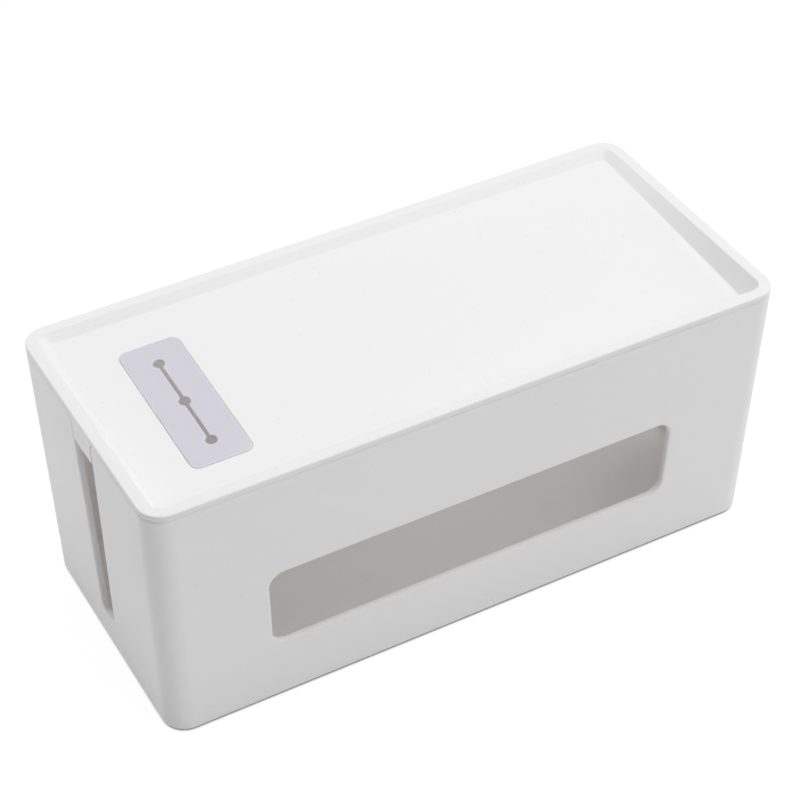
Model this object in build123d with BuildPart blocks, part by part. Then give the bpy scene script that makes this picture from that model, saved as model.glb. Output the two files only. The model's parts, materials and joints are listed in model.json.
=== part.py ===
"""Cable management box: open-topped box, lift-off lid with a sloped tray, soft cable grommet, feet.

Millimetres, +Z up. The origin is on the standing plane, under the centre of the box. +X runs along
the box, and the front wall, with the long window, faces -Y.
"""

import os
from math import atan, cos, hypot, radians, sin, tan

from build123d import *

os.makedirs("parts", exist_ok=True)

# ---------------------------------------------------------------- driving dimensions
# outer shape, measured at the top of the lid's rim
length = 320.0
width = 142.3
body_height = 134.02  # underside of the box to the plane the lid sits on
rim_height = 2.9  # outer side of the lid above that plane
draft_angle = 1.59  # outward lean of every outer wall
corner_radius = 11.5  # upright corners
wall = 3.0  # walls and floor of the box
bottom_edge_radius = 1.0
seat_edge_radius = 1.2  # outer edge of the box's mouth, and of the end slots
seam_gap = 0.1  # height of the shadow line under the lid, outside the lip that carries it
seam_depth = 1.4
lip_width = 1.2

# long window in the front wall
window_length = 209.4  # half way up
window_height = 44.4
window_lean = 1.85  # outward lean of its ends, in degrees
window_sill = 33.57  # lower edge of the window above the underside
window_corner_radius = 7.5
window_edge_radius = 1.2

# tapered cable slot, open at the top, in the middle of each end wall
slot_floor = 17.37  # lower end of the slot above the underside
slot_floor_width = 13.2
slot_mouth_width = 20.66
slot_corner_radius = 5.0
slot_mouth_radius = 3.5

# lid: rim, tray that slopes down to the front, and one tab over each slot
rim_band = 5.8  # flat top of the rim
rim_edge_radius = 0.8
rim_lower_edge_radius = 0.2
tray_inset = 10.3  # edge of the tray's floor, from the outer outline
tray_depth = 7.3  # floor below the rim, at the middle of the tray
tray_slope = 0.065  # rise of the floor for each millimetre towards the back
tray_corner_radius = 3.5
tray_blend_radius = 0.8  # floor into the tray's sides
tray_mouth_radius = 0.5
lid_thickness = 2.8
lid_clearance = 0.3  # lid to box, all round
tab_drop = 12.6  # tab below the plane the lid sits on
tab_root = 0.2  # overlap that joins a tab to the tray's side
tab_corner_radius = 0.8

# soft grommet set in the tray's floor, at the left end
grommet_length = 81.0
grommet_width = 29.5
grommet_corner_radius = 4.0
grommet_end_distance = 49.95  # middle of the grommet from the lid's left end
grommet_clearance = 0.3
grommet_stand = 0.2  # top of the grommet above the tray's floor
grommet_flange = 1.0  # thickness of the flange
grommet_sheet = 1.6  # thickness round the holes
grommet_ledge = 2.5  # width of the ledge under the flange
grommet_reach = 1.5  # skirt below the underside of the tray
grommet_skirt = 2.0  # thickness of the skirt round the sheet
grommet_edge_radius = 0.5
cutout_edge_radius = 0.5  # edge of the tray's floor round the grommet
cable_hole_diameter = 5.6
cable_hole_pitch = 27.1
cable_hole_count = 3
cable_slit_width = 1.8

# round anti-slip feet, set in shallow pockets under the box
foot_diameter = 12.0
foot_thickness = 2.0
foot_stand = 1.0  # part of the thickness that stands below the box
foot_inset = 18.0  # middle of a foot from the underside's outline
foot_clearance = 0.3
foot_edge_radius = 0.4

# ---------------------------------------------------------------- derived sizes
seat_z = foot_stand + body_height
mouth_z = seat_z - seam_gap
rim_z = seat_z + rim_height
draft_run = tan(radians(draft_angle))
slot_floor_z = foot_stand + slot_floor
window_z = foot_stand + window_sill + window_height / 2
window_spread = window_height / 2 * tan(radians(window_lean))
tab_z = seat_z - tab_drop
tray_tilt = atan(tray_slope)
tray_normal = (0, -sin(tray_tilt), cos(tray_tilt))
tray_plane = Plane(origin=(0, 0, rim_z - tray_depth), x_dir=(1, 0, 0), z_dir=tray_normal)
grommet_plane = tray_plane.offset(grommet_stand)
tray_stretch = 1 / cos(tray_tilt)  # length on the sloped floor for one millimetre in plan
grommet_x = grommet_end_distance - length / 2
cutout_width = grommet_width + 2 * grommet_clearance
cutout_length = grommet_length + 2 * grommet_clearance
cutout_radius = grommet_corner_radius + grommet_clearance
foot_x = length / 2 - (rim_z - foot_stand) * draft_run - foot_inset
foot_y = width / 2 - (rim_z - foot_stand) * draft_run - foot_inset
through = 2 * length  # reach of a cut that passes right through
close_to = 0.05  # tolerance for picking edges


def wall_inset(z):
    """Distance the drafted outer wall has moved in at height z, from the outline at the rim."""
    return (rim_z - z) * draft_run


def drafted_block(z_low, z_high, inset):
    """Block between two heights whose sides follow the outer walls, moved in by inset."""
    shrink = 2 * (wall_inset(z_low) + inset)
    with BuildPart() as block:
        with BuildSketch(Plane.XY.offset(z_low)):
            Rectangle(length - shrink, width - shrink)
        extrude(amount=z_high - z_low, taper=-draft_angle)
        level = block.faces().sort_by(Axis.Z)
        upright = block.edges() - level[0].edges() - level[-1].edges()
        fillet(upright, corner_radius - inset)
    return block.part


def outline_on(plane, inset, radius, stretch=1):
    """Rounded rectangle on a plane, moved in from the outline at the rim."""
    with BuildSketch(plane) as outline:
        RectangleRounded(length - 2 * inset, (width - 2 * inset) * stretch, radius)
    return outline.sketch


def slot_half_width(z):
    """Half width of the tapered end slot at height z."""
    widening = (slot_mouth_width - slot_floor_width) / (seat_z - slot_floor_z)
    return (slot_floor_width + (z - slot_floor_z) * widening) / 2


def slot_profile(z_low, clearance, low_radius):
    """Tapered slot on the YZ plane, moved in by a clearance and open at the top."""
    low = slot_half_width(z_low) - clearance
    high = slot_half_width(rim_z) - clearance
    with BuildSketch(Plane.YZ) as profile:
        with BuildLine():
            Polyline((-low, z_low), (low, z_low), (high, rim_z), (-high, rim_z), close=True)
        make_face()
        fillet(profile.vertices().group_by(Axis.Y)[0], low_radius)
    return profile.sketch


def at_height(edge, z):
    """Whether an edge's middle is at height z."""
    return abs((edge @ 0.5).Z - z) < close_to


def slot_mouth_edges(part, z):
    """Edges that run through the end walls at the corners of the slots' mouths, at height z."""
    return part.edges().filter_by(Axis.X).filter_by(
        lambda e: at_height(e, z) and abs((e @ 0.5).Y) < slot_mouth_width
    )


def on_outer_wall(edge):
    """Whether the middle of an edge lies on the drafted outer walls or their upright corners."""
    middle = edge @ 0.5
    depth_x = length / 2 - wall_inset(middle.Z) - abs(middle.X)
    depth_y = width / 2 - wall_inset(middle.Z) - abs(middle.Y)
    depth = min(depth_x, depth_y)
    if max(depth_x, depth_y) < corner_radius:
        depth = corner_radius - hypot(corner_radius - depth_x, corner_radius - depth_y)
    return abs(depth) < close_to


def on_slot(edge):
    """Whether an edge's middle lies on an end slot or its rounded mouth."""
    middle = edge @ 0.5
    reach = slot_mouth_width / 2 + slot_mouth_radius
    return abs(middle.Y) < reach and slot_floor_z - close_to < middle.Z < seat_z


def on_window(edge):
    """Whether an edge's middle lies on the window's outline."""
    middle = edge @ 0.5
    across = abs(middle.X) < window_length / 2 + window_spread + close_to
    return across and abs(middle.Z - window_z) < window_height / 2 + close_to


def inside_rim(edge):
    """Whether an edge's middle lies within the rim's flat top, seen from above, or on its inner outline."""
    middle = edge @ 0.5
    inset = min(length / 2 - abs(middle.X), width / 2 - abs(middle.Y))
    return inset > rim_band - close_to


def on_tray_mouth(edge):
    """Whether an edge's middle lies on the inner outline of the rim's flat top."""
    return at_height(edge, rim_z) and inside_rim(edge)


def on_tray_floor(edge, raised=0):
    """Whether an edge's middle lies on the tray's floor, or in a plane raised above it."""
    height = tray_plane.to_local_coords(edge @ 0.5).Z
    return abs(height - raised) < close_to and inside_rim(edge)


def on_cutout(edge):
    """Whether an edge's middle lies on the outline of the grommet's opening in the tray's floor."""
    place = tray_plane.to_local_coords(edge @ 0.5)
    return on_tray_floor(edge) and abs(place.X - grommet_x) < cutout_width / 2 + close_to


# ---------------------------------------------------------------- box
with BuildPart() as seat_lip:
    # inner part of the walls' top, which carries the lid; it stops short of the end slots
    mouth_plane = Plane.XY.offset(mouth_z)
    lip_inset = wall_inset(mouth_z) + seam_depth
    extrude(outline_on(mouth_plane, lip_inset, corner_radius - seam_depth), amount=seam_gap)
    inner_radius = corner_radius - seam_depth - lip_width
    inner_outline = outline_on(mouth_plane, lip_inset + lip_width, inner_radius)
    extrude(inner_outline, amount=seam_gap, mode=Mode.SUBTRACT)
    with Locations((0, 0, seat_z)):
        Box(through, slot_mouth_width + 4 * slot_mouth_radius, 2 * seam_gap, mode=Mode.SUBTRACT)

with BuildPart() as box_body:
    add(drafted_block(foot_stand, mouth_z, 0))
    fillet(box_body.faces().sort_by(Axis.Z)[0].edges(), bottom_edge_radius)
    add(drafted_block(foot_stand + wall, mouth_z, wall), mode=Mode.SUBTRACT)
    # end slots, one cut through both end walls
    box_slot = slot_profile(slot_floor_z, 0, slot_corner_radius)
    extrude(box_slot, amount=through, both=True, mode=Mode.SUBTRACT)
    fillet(slot_mouth_edges(box_body, mouth_z), slot_mouth_radius)
    outer_edges = box_body.edges().filter_by(on_outer_wall)
    fillet(outer_edges.filter_by(lambda e: at_height(e, mouth_z) or on_slot(e)), seat_edge_radius)
    add(seat_lip.part)
    # front window
    with BuildSketch(Plane.XZ) as window:
        low, high = window_length / 2 - window_spread, window_length / 2 + window_spread
        sill_z, top_z = window_z - window_height / 2, window_z + window_height / 2
        with BuildLine():
            Polyline((-low, sill_z), (low, sill_z), (high, top_z), (-high, top_z), close=True)
        make_face()
        fillet(window.vertices(), window_corner_radius)
    extrude(amount=through, mode=Mode.SUBTRACT)
    outer_edges = box_body.edges().filter_by(on_outer_wall)
    fillet(outer_edges.filter_by(on_window), window_edge_radius)
    # pockets for the feet
    with BuildSketch(Plane.XY.offset(foot_stand)):
        with GridLocations(2 * foot_x, 2 * foot_y, 2, 2):
            Circle(foot_diameter / 2 + foot_clearance)
    extrude(amount=foot_thickness - foot_stand, mode=Mode.SUBTRACT)
box_body.part.label = "box_body"

# ---------------------------------------------------------------- lid
with BuildPart() as end_tabs:
    # one over each slot's mouth, flush with the end walls
    add(drafted_block(tab_z, seat_z, 0))
    add(drafted_block(tab_z, seat_z, wall + lid_clearance + tab_root), mode=Mode.SUBTRACT)
    tab_slot = slot_profile(tab_z, lid_clearance, tab_corner_radius)
    extrude(tab_slot, amount=through, both=True, mode=Mode.INTERSECT)

with BuildPart() as lid:
    add(drafted_block(seat_z, rim_z, 0))
    add(end_tabs.part)
    tab_mouth_radius = slot_mouth_radius + lid_clearance / 2
    fillet(slot_mouth_edges(lid, seat_z), tab_mouth_radius)
    outer_edges = lid.edges().filter_by(on_outer_wall)
    fillet(outer_edges.filter_by(lambda e: at_height(e, rim_z)), rim_edge_radius)
    outer_edges = lid.edges().filter_by(on_outer_wall)
    fillet(outer_edges.filter_by(lambda e: at_height(e, seat_z) or on_slot(e)), rim_lower_edge_radius)
    # underside of the tray, which also locates the lid inside the box
    spigot_inset = wall + lid_clearance
    seat_plane = Plane.XY.offset(seat_z)
    spigot_top = outline_on(
        seat_plane, wall_inset(seat_z) + spigot_inset, corner_radius - spigot_inset
    )
    spigot_end = outline_on(
        tray_plane.offset(-lid_thickness),
        tray_inset - lid_thickness,
        tray_corner_radius + lid_thickness,
        tray_stretch,
    )
    loft([spigot_top, spigot_end], ruled=True)
    # tray
    tray_mouth = outline_on(Plane.XY.offset(rim_z), rim_band, corner_radius - rim_band)
    tray_floor = outline_on(tray_plane, tray_inset, tray_corner_radius, tray_stretch)
    loft([tray_mouth, tray_floor], ruled=True, mode=Mode.SUBTRACT)
    fillet(lid.edges().filter_by(on_tray_floor), tray_blend_radius)
    fillet(lid.edges().filter_by(on_tray_mouth), tray_mouth_radius)
    # seat of the grommet: an opening with a ledge
    with BuildSketch(tray_plane):
        with Locations((grommet_x, 0)):
            RectangleRounded(cutout_width, cutout_length, cutout_radius)
    extrude(amount=grommet_stand - grommet_flange, mode=Mode.SUBTRACT)
    fillet(lid.edges().filter_by(on_cutout), cutout_edge_radius)
    with BuildSketch(tray_plane):
        with Locations((grommet_x, 0)):
            RectangleRounded(
                cutout_width - 2 * grommet_ledge,
                cutout_length - 2 * grommet_ledge,
                cutout_radius - grommet_ledge,
            )
    extrude(amount=-2 * lid_thickness, mode=Mode.SUBTRACT)
lid.part.label = "lid"

# ---------------------------------------------------------------- grommet
with BuildPart() as cable_grommet:
    with BuildSketch(grommet_plane):
        with Locations((grommet_x, 0)):
            RectangleRounded(grommet_width, grommet_length, grommet_corner_radius)
    extrude(amount=-grommet_flange)
    with BuildSketch(grommet_plane):
        with Locations((grommet_x, 0)):
            RectangleRounded(
                grommet_width - 2 * grommet_ledge,
                grommet_length - 2 * grommet_ledge,
                grommet_corner_radius - grommet_ledge,
            )
    extrude(amount=-(grommet_stand + lid_thickness + grommet_reach))
    # hollow under the sheet
    with BuildSketch(grommet_plane.offset(-grommet_sheet)):
        with Locations((grommet_x, 0)):
            Rectangle(
                grommet_width - 2 * (grommet_ledge + grommet_skirt),
                grommet_length - 2 * (grommet_ledge + grommet_skirt),
            )
    extrude(amount=-2 * (lid_thickness + grommet_reach), mode=Mode.SUBTRACT)
    # cable holes, joined by a slit
    with BuildSketch(grommet_plane):
        with Locations((grommet_x, 0)):
            Rectangle(cable_slit_width, cable_hole_pitch * (cable_hole_count - 1))
            with GridLocations(0, cable_hole_pitch, 1, cable_hole_count):
                Circle(cable_hole_diameter / 2)
    extrude(amount=-2 * (lid_thickness + grommet_reach), mode=Mode.SUBTRACT)
    top_edges = cable_grommet.edges().filter_by(lambda e: on_tray_floor(e, grommet_stand))
    fillet(top_edges, grommet_edge_radius)
cable_grommet.part.label = "cable_grommet"

# ---------------------------------------------------------------- feet
feet = {
    "foot_front_left": (-foot_x, -foot_y),
    "foot_front_right": (foot_x, -foot_y),
    "foot_back_left": (-foot_x, foot_y),
    "foot_back_right": (foot_x, foot_y),
}
for name, place in feet.items():
    with BuildPart() as foot:
        with BuildSketch():
            with Locations(place):
                Circle(foot_diameter / 2)
        extrude(amount=foot_thickness)
        fillet(foot.faces().sort_by(Axis.Z)[0].edges(), foot_edge_radius)
    foot.part.label = name
    export_step(foot.part, f"parts/{name}.step")

export_step(box_body.part, "parts/box_body.step")
export_step(lid.part, "parts/lid.step")
export_step(cable_grommet.part, "parts/cable_grommet.step")
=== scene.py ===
import json
import math

import bpy
from mathutils import Matrix, Vector

# Cable management box in a white studio. Metres, +Z up. The box runs along X, its windowed front
# faces -Y, and the grommet in its lid is at the -X end.
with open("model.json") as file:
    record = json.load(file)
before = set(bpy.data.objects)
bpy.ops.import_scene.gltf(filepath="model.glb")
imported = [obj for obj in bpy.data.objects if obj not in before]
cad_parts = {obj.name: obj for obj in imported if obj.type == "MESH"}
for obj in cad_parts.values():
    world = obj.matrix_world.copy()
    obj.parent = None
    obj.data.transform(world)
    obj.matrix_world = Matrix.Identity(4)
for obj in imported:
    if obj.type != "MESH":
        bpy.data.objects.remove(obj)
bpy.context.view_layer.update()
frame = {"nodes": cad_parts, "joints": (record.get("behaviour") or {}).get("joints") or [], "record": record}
nodes = frame["nodes"]
joints = {joint["name"]: joint for joint in frame["joints"]}
openings = {space["name"]: space["box_m"] for space in frame["record"]["physics"]["openings"]}

# ------------------------------------------------------------------ camera
CAMERA_PLACE = (-0.40158, -0.71774, 0.79025)
CAMERA_AROUND = -0.472153  # radians round the object, 0 at the front
CAMERA_DOWN = 0.689203  # radians below the horizon
CAMERA_ROLL = -0.026104  # radians
CAMERA_SHIFT = (0.08165, -0.05558)  # of the lens, in picture widths
FOCAL_PIXELS = 2299.01
PICTURE_PIXELS = 800
SENSOR_WIDTH = 36  # millimetres
CAMERA_CLIP = (0.01, 50)


def make_camera():
    forward = Vector((
        -math.sin(CAMERA_AROUND) * math.cos(CAMERA_DOWN),
        math.cos(CAMERA_AROUND) * math.cos(CAMERA_DOWN),
        -math.sin(CAMERA_DOWN),
    ))
    right = forward.cross(Vector((0, 0, 1))).normalized()
    up = right.cross(forward)
    right, up = (
        right * math.cos(CAMERA_ROLL) + up * math.sin(CAMERA_ROLL),
        -right * math.sin(CAMERA_ROLL) + up * math.cos(CAMERA_ROLL),
    )
    data = bpy.data.cameras.new("camera")
    data.sensor_width = SENSOR_WIDTH
    data.lens = FOCAL_PIXELS / PICTURE_PIXELS * SENSOR_WIDTH
    data.shift_x, data.shift_y = CAMERA_SHIFT
    data.clip_start, data.clip_end = CAMERA_CLIP
    cam = bpy.data.objects.new("camera", data)
    turn = Matrix((right, up, -forward)).transposed().to_4x4()
    cam.matrix_world = Matrix.Translation(CAMERA_PLACE) @ turn
    bpy.context.scene.collection.objects.link(cam)
    bpy.context.scene.camera = cam


make_camera()


# ------------------------------------------------------------------ shader nodes
class Nodes:
    """Fills a node tree, starting from an empty one."""

    def __init__(self, tree):
        self.tree = tree
        tree.nodes.clear()

    def add(self, kind, inputs, **settings):
        """Adds a node. An input given as a socket is linked, and any other input is set."""
        node = self.tree.nodes.new(kind)
        for key, value in settings.items():
            setattr(node, key, value)
        for key, value in inputs.items():
            if isinstance(value, bpy.types.NodeSocket):
                self.tree.links.new(value, node.inputs[key])
            else:
                node.inputs[key].default_value = value
        return node

    def ramp(self, value, start, end, low, high, curve="LINEAR"):
        """Maps start to low and end to high, and holds those values beyond them."""
        inputs = {
            "Value": value, "From Min": start, "From Max": end, "To Min": low, "To Max": high
        }
        return self.add("ShaderNodeMapRange", inputs, interpolation_type=curve).outputs["Result"]

    def scaled(self, vector, factor):
        """Multiplies a colour or a vector by a number."""
        inputs = {"Vector": vector, "Scale": factor}
        return self.add("ShaderNodeVectorMath", inputs, operation="SCALE").outputs["Vector"]

    def maths(self, operation, first, second):
        inputs = {0: first, 1: second}
        return self.add("ShaderNodeMath", inputs, operation=operation).outputs["Value"]


# ------------------------------------------------------------------ materials
PLASTIC_IOR = 1.46
DRIFT_SCALE = 22  # slow drift of colour and gloss, in waves to the metre
GLOSS_DRIFT = 0.04  # of the roughness, to either side
PIT_SCALE = 0.35  # of the grain's scale
PIT_SHARE = 0.5  # height of the pits, of the grain's
SPECK_SPACING = 0.005  # mean distance of the stray specks in the moulding
SPECK_RADIUS = 0.00035
SPECK_CORE = 0.4  # full depth of colour, of the radius
# the next two tilts bound where the painted edge highlight fades in
FLAT_UNTIL = 0.998  # cosine of the tilt at which an edge starts to round off
ROUNDED_FROM = 0.93  # cosine of the tilt from which it counts as rounded


def painted_edge_highlight_factor(n, flat_normal, highlight_gain):
    """Painted highlight: colour gain on the rounded edges of a flat soft piece, standing in for light that
    comes through the edge.
    """
    surface = n.add("ShaderNodeNewGeometry", {})
    inputs = {0: surface.outputs["Normal"], 1: flat_normal}
    upright = n.add("ShaderNodeVectorMath", inputs, operation="DOT_PRODUCT")
    return n.ramp(upright.outputs["Value"], FLAT_UNTIL, ROUNDED_FROM, 1.0, highlight_gain, "SMOOTHSTEP")


def speck_factor(n, where, darkening):
    """Factor on the colour that is below 1 in a few stray specks."""
    stray = n.add("ShaderNodeTexVoronoi", {"Vector": where, "Scale": 1 / SPECK_SPACING})
    edge = SPECK_RADIUS / SPECK_SPACING
    return n.ramp(stray.outputs["Distance"], SPECK_CORE * edge, edge, 1 - darkening, 1.0)


def grain_normal(n, where, scale, depth):
    """Fine spark-eroded grain, as a bump."""
    inputs = {"Vector": where, "Scale": scale, "Detail": 3, "Roughness": 0.65}
    fine = n.add("ShaderNodeTexNoise", inputs)
    pits = n.add("ShaderNodeTexVoronoi", {"Vector": where, "Scale": scale * PIT_SCALE})
    pit_height = n.maths("MULTIPLY", pits.outputs["Distance"], PIT_SHARE)
    height = n.maths("ADD", fine.outputs["Fac"], pit_height)
    bump = n.add("ShaderNodeBump", {"Strength": 1.0, "Distance": depth, "Height": height})
    return bump.outputs["Normal"]


def moulded(name, colour, roughness, grain, depth, mottle, specks=0.0, edge=None):
    """Moulded plastic or rubber: grain, slow mottling of colour and gloss, stray specks, and, where edge is
    given, a painted highlight on rounded edges.

    grain is the grain's scale and depth its depth. mottle and specks are shares of the colour.
    edge is the normal of a flat soft piece and the colour gain of the painted highlight on its rounded
    edges.
    """
    mat = bpy.data.materials.new(name)
    mat.use_nodes = True
    n = Nodes(mat.node_tree)
    where = n.add("ShaderNodeTexCoord", {}).outputs["Object"]
    inputs = {"Vector": where, "Scale": DRIFT_SCALE, "Detail": 4, "Roughness": 0.6}
    drift = n.add("ShaderNodeTexNoise", inputs).outputs["Fac"]

    inputs = {
        "A": (*[c * (1 - mottle) for c in colour], 1),
        "B": (*[min(1, c * (1 + mottle)) for c in colour], 1),
        "Factor": drift,
    }
    tint = n.add("ShaderNodeMix", inputs, data_type="RGBA", blend_type="MIX").outputs["Result"]
    tint = n.scaled(tint, speck_factor(n, where, specks))
    # painted highlight: the rounded edges of the soft piece are made lighter in colour
    if edge:
        tint = n.scaled(tint, painted_edge_highlight_factor(n, *edge))

    inputs = {
        "Base Color": tint,
        "Metallic": 0.0,
        "IOR": PLASTIC_IOR,
        "Roughness": n.ramp(drift, 0.3, 0.7, roughness - GLOSS_DRIFT, roughness + GLOSS_DRIFT),
        "Normal": grain_normal(n, where, grain, depth),
    }
    shader = n.add("ShaderNodeBsdfPrincipled", inputs)
    n.add("ShaderNodeOutputMaterial", {"Surface": shader.outputs["BSDF"]})
    return mat


def moulded_white():
    colour = (0.94, 0.937, 0.936)
    return moulded("moulded_white", colour, 0.42, grain=1500, depth=0.000012, mottle=0.004, specks=0.24)


def soft_grey_silicone():
    """The grommet's, with a painted highlight on its rounded edges; the grommet is pulled square to the
    tray's floor, so its joint gives the normal.
    """
    colour = (0.70, 0.69, 0.745)
    tray_normal = Vector(joints["grommet_pull"]["axis"]).normalized()
    return moulded(
        "soft_grey_silicone", colour, 0.55, grain=2200, depth=0.00002, mottle=0.012, specks=0.08,
        # painted highlight: colour 1.2 times lighter on the rounded edges
        edge=(tray_normal, 1.2),
    )


def foot_rubber():
    colour = (0.03, 0.03, 0.032)
    return moulded("foot_rubber", colour, 0.7, grain=1800, depth=0.00004, mottle=0.08)


def dress_nodes():
    white, soft, rubber = moulded_white(), soft_grey_silicone(), foot_rubber()
    wear = {"box_body": white, "lid": white, "cable_grommet": soft}
    for name, obj in nodes.items():
        mat = wear.get(name, rubber)
        for slot in obj.material_slots:
            slot.material = mat
        if not obj.material_slots:
            obj.data.materials.append(mat)


dress_nodes()


# ------------------------------------------------------------------ floor
FLOOR_REACH = 6.0  # from the middle to each side
FLOOR_DROP = 0.00005  # below the feet
FLOOR_BASE = 0.85  # grey level that the box is lit by
FLOOR_SHOWN = 1.07  # brightness that the camera sees
FLOOR_KEPT = 0.12  # share of its real shading that the camera still sees
CONTACT_REACH = 0.004  # how far from the box its contact shadow is looked for
CONTACT_DARK = 0.15  # openness up to which the contact shadow is full
CONTACT_CLEAR = 0.6  # openness from which there is none


def studio_white():
    """A pale diffuse surface that the camera and gloss see white, but for the contact shadow."""
    mat = bpy.data.materials.new("floor_white")
    mat.use_nodes = True
    n = Nodes(mat.node_tree)
    diffuse = n.add("ShaderNodeBsdfDiffuse", {"Color": (FLOOR_BASE, FLOOR_BASE, FLOOR_BASE, 1)})
    # the narrow gap under the box stays dark: little of the sky is open there
    openness = n.add("ShaderNodeAmbientOcclusion", {"Distance": CONTACT_REACH}, samples=16)
    light = n.ramp(
        openness.outputs["AO"], CONTACT_DARK, CONTACT_CLEAR, 0.0, FLOOR_SHOWN, "SMOOTHSTEP"
    )
    glow = n.add("ShaderNodeEmission", {"Color": (1, 1, 1, 1), "Strength": light})
    ray = n.add("ShaderNodeLightPath", {}).outputs
    seen = n.maths("MAXIMUM", ray["Is Camera Ray"], ray["Is Glossy Ray"])
    seen = n.maths("MAXIMUM", seen, ray["Is Transmission Ray"])
    share = n.maths("MULTIPLY", seen, 1 - FLOOR_KEPT)
    inputs = {"Fac": share, 1: diffuse.outputs["BSDF"], 2: glow.outputs["Emission"]}
    mix = n.add("ShaderNodeMixShader", inputs)
    n.add("ShaderNodeOutputMaterial", {"Surface": mix.outputs["Shader"]})
    return mat


def make_floor():
    r = FLOOR_REACH
    mesh = bpy.data.meshes.new("floor")
    mesh.from_pydata([(-r, -r, 0), (r, -r, 0), (r, r, 0), (-r, r, 0)], [], [(0, 1, 2, 3)])
    mesh.materials.append(studio_white())
    floor = bpy.data.objects.new("floor", mesh)
    floor.location.z = -FLOOR_DROP
    bpy.context.scene.collection.objects.link(floor)


make_floor()

# ------------------------------------------------------------------ light
AIM = (0, 0, 0.07)  # about the middle of the box
SOFTBOX_DISTANCE = 1.6
SOFTBOX_SIZE = (1.3, 1.0)
SOFTBOX_COLOUR = (0.997, 0.99, 1.0)
# degrees round the object, 0 at the front and positive to the right; degrees above the floor; power
SOFTBOXES = {
    "front_low": (0, 20, 3.6),
    "front_middle": (0, 45, 3.5),
    "right_low": (90, 20, 5.9),
    "right_high": (60, 70, 7.6),
    "back_right_high": (120, 70, 6.5),
    "back_right": (150, 45, 2.6),
}
FILL_PLACE = (-0.6, 0.6, 0.5)  # a smaller lamp, close by at the back left
FILL_AIM = (-0.1, 0, 0.07)
FILL_SIZE = (0.6, 0.6)
FILL_POWER = 2.85
# daylight that soaks through the thin white walls, as a dim warm lamp under the lid
SOAK_SHIFT = 0.012  # along the box
SOAK_DROP = 0.00015  # below the top of the inside
SOAK_SIZE = (0.275, 0.115)
SOAK_POWER = 0.032
SOAK_COLOUR = (1.0, 0.93, 0.86)
SKY_COLOUR = (0.985, 0.97, 1.0, 1)
SKY_POWER = 0.1


def area_lamp(name, place, aim, size, power, colour):
    data = bpy.data.lights.new(name, "AREA")
    data.shape = "RECTANGLE"
    data.size, data.size_y = size
    data.energy = power
    data.color = colour
    lamp = bpy.data.objects.new(name, data)
    lamp.location = place
    lamp.rotation_mode = "QUATERNION"
    lamp.rotation_quaternion = (Vector(aim) - Vector(place)).to_track_quat("-Z", "Y")
    lamp.visible_camera = False
    bpy.context.scene.collection.objects.link(lamp)
    return lamp


def make_lamps():
    for name, (around, height, power) in SOFTBOXES.items():
        a, h = math.radians(around), math.radians(height)
        towards = Vector((math.sin(a) * math.cos(h), -math.cos(a) * math.cos(h), math.sin(h)))
        place = towards * SOFTBOX_DISTANCE + Vector(AIM)
        area_lamp(name, place, AIM, SOFTBOX_SIZE, power, SOFTBOX_COLOUR)
    area_lamp("back_left_near", FILL_PLACE, FILL_AIM, FILL_SIZE, FILL_POWER, SOFTBOX_COLOUR)

    inside_top = openings["interior"][1][2]
    place = (SOAK_SHIFT, 0, inside_top - SOAK_DROP)
    below = (SOAK_SHIFT, 0, 0)
    soak = area_lamp("light_through_walls", place, below, SOAK_SIZE, SOAK_POWER, SOAK_COLOUR)
    soak.visible_glossy = False


def make_sky():
    """A dim sky that the camera sees as plain white."""
    world = bpy.data.worlds.new("studio")
    bpy.context.scene.world = world
    world.use_nodes = True
    n = Nodes(world.node_tree)
    sky = n.add("ShaderNodeBackground", {"Color": SKY_COLOUR, "Strength": SKY_POWER})
    backdrop = n.add("ShaderNodeBackground", {"Color": (1, 1, 1, 1), "Strength": 1.0})
    seen = n.add("ShaderNodeLightPath", {}).outputs["Is Camera Ray"]
    inputs = {"Fac": seen, 1: sky.outputs["Background"], 2: backdrop.outputs["Background"]}
    mix = n.add("ShaderNodeMixShader", inputs)
    n.add("ShaderNodeOutputWorld", {"Surface": mix.outputs["Shader"]})


make_lamps()
make_sky()
bpy.context.scene.view_settings.view_transform = "Standard"
